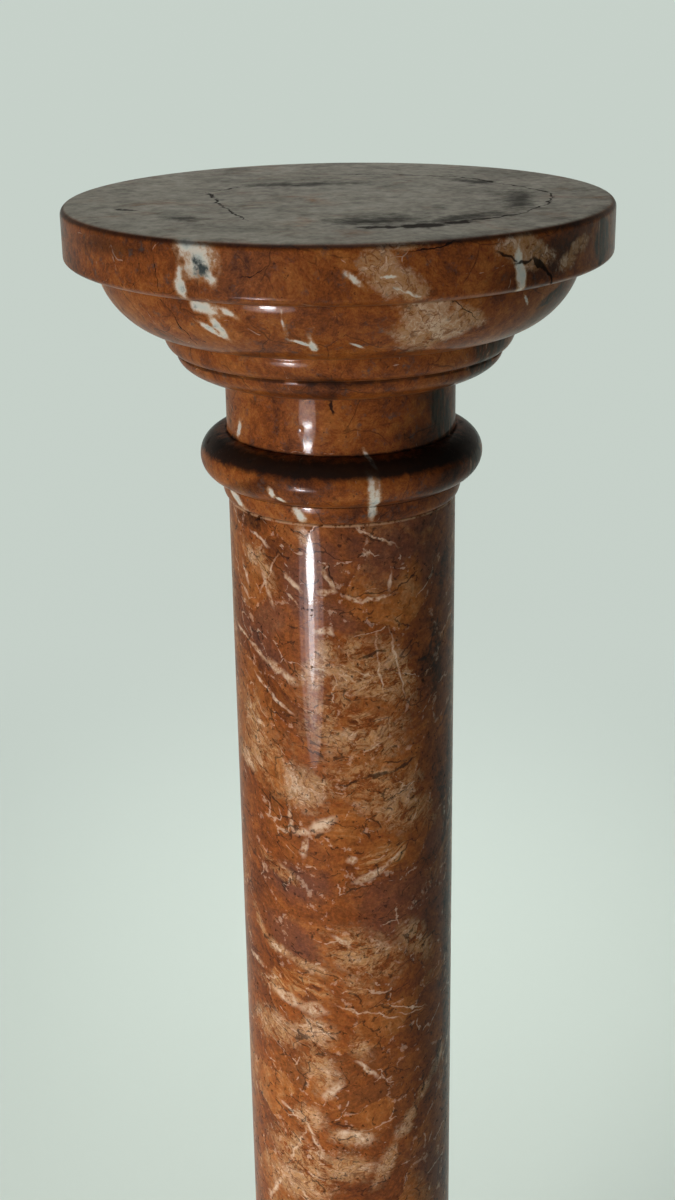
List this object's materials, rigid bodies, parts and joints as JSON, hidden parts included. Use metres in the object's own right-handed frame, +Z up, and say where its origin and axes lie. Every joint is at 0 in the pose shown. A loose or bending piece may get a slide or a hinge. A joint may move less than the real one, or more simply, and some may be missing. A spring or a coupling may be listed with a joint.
{
  "type": "marble column",
  "caption": "Free-standing pedestal column of polished red-brown veined marble: turned round-topped capital, plain round shaft, turned base and square plinth, to carry a bust, vase or plant.",
  "frame": {"origin": "centre of the plinth's underside, on the floor", "axes": "+Z up along the column's axis; -Y is the side that faces the picture's camera; +X to its right"},
  "size_m": [0.3, 0.3, 1.08],
  "materials": {
    "capital_marble": "polished rust-brown marble with few large cream and grey patches",
    "shaft_marble": "polished red-brown breccia with cream veined matrix",
    "base_marble": "polished rust-brown marble",
    "plinth_marble": "polished rust-brown marble"
  },
  "bodies": {
    "root": {"capital": "capital_marble", "shaft": "shaft_marble", "base": "base_marble", "plinth": "plinth_marble"}
  },
  "joints": []
}
